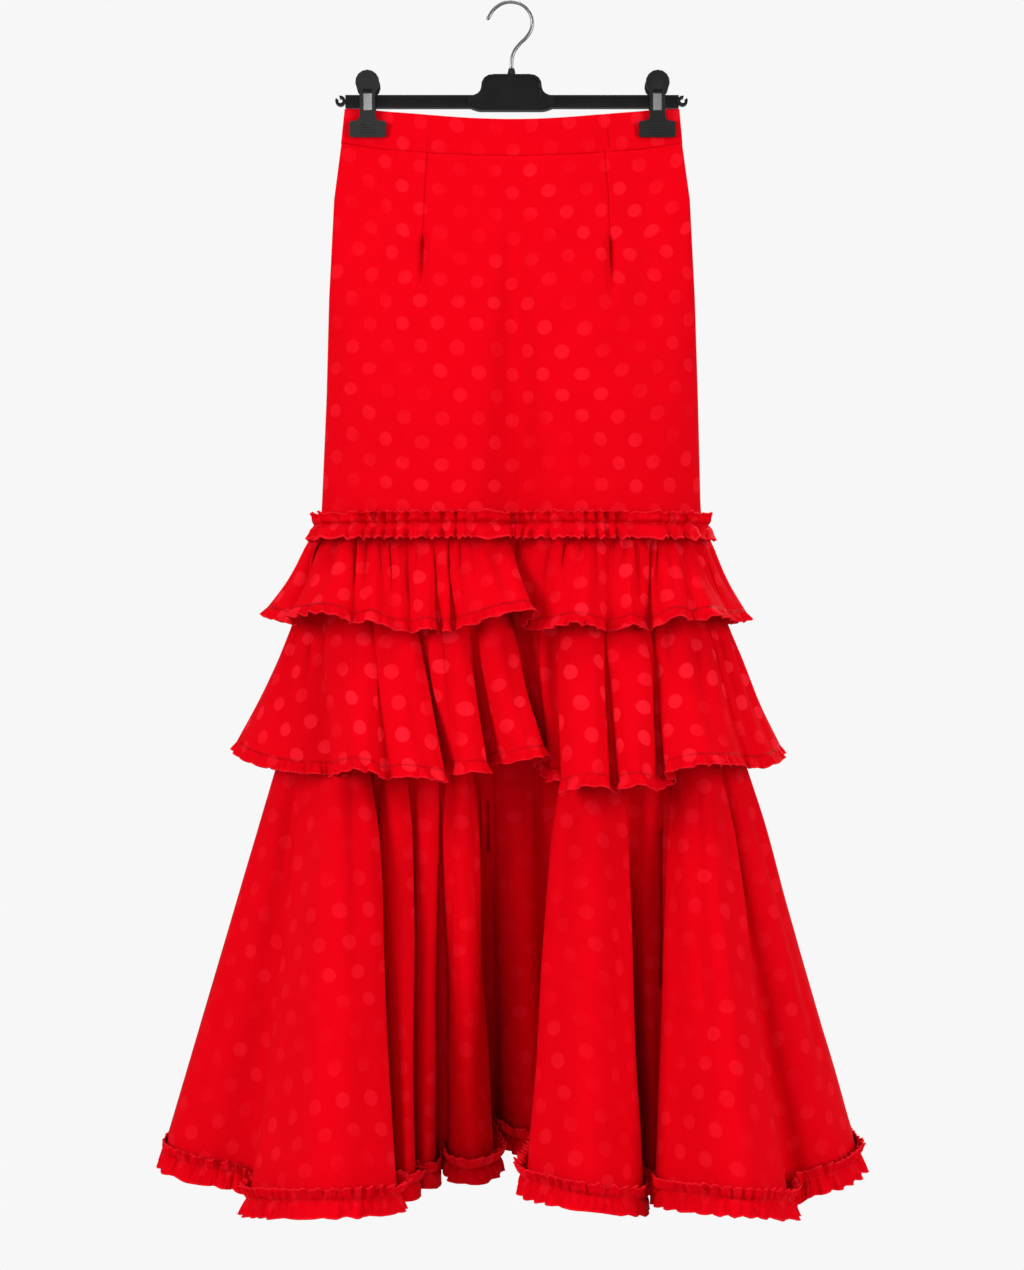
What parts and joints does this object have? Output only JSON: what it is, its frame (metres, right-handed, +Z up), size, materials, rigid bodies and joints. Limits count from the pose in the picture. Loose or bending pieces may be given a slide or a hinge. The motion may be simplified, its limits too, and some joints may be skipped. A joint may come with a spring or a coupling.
{
  "type": "flamenco skirt on clip hanger",
  "caption": "Long fitted flamenco skirt with flared flounces, a gathered heading and a ruched hem, hung by its waistband on a clip hanger.",
  "frame": {"origin": "inside top of the hanger's hook, where it rests on a rail", "axes": "+Z up, -Y out of the front of the skirt, +X to the right as seen from the front"},
  "size_m": [0.7144, 0.4048, 1.1893],
  "materials": {
    "dotted_cloth": "bright red crepe with soft tone-on-tone polka dots and a slight sheen",
    "black_plastic": "moulded, satin black",
    "hook_steel": "bright steel wire, slightly worn",
    "spring_steel": "plain rolled steel strip"
  },
  "bodies": {
    "root": {"waistband_front": "dotted_cloth", "waistband_back": "dotted_cloth", "front_panel": "dotted_cloth", "back_panel_left": "dotted_cloth", "back_panel_right": "dotted_cloth", "tier_1_flounce_front": "dotted_cloth", "tier_1_flounce_back": "dotted_cloth", "heading_frill_front": "dotted_cloth", "heading_frill_back": "dotted_cloth", "tier_2_flounce_front": "dotted_cloth", "tier_2_flounce_back": "dotted_cloth", "tier_3_flounce_front": "dotted_cloth", "tier_3_flounce_back": "dotted_cloth", "hem_ruche_front": "dotted_cloth", "hem_ruche_back": "dotted_cloth", "hanger_bar": "black_plastic", "clip_left_front": "black_plastic", "clip_left_back": "black_plastic", "clip_right_front": "black_plastic", "clip_right_back": "black_plastic", "hook_wire": "hook_steel", "clip_left_spring": "spring_steel", "clip_right_spring": "spring_steel"}
  },
  "joints": []
}
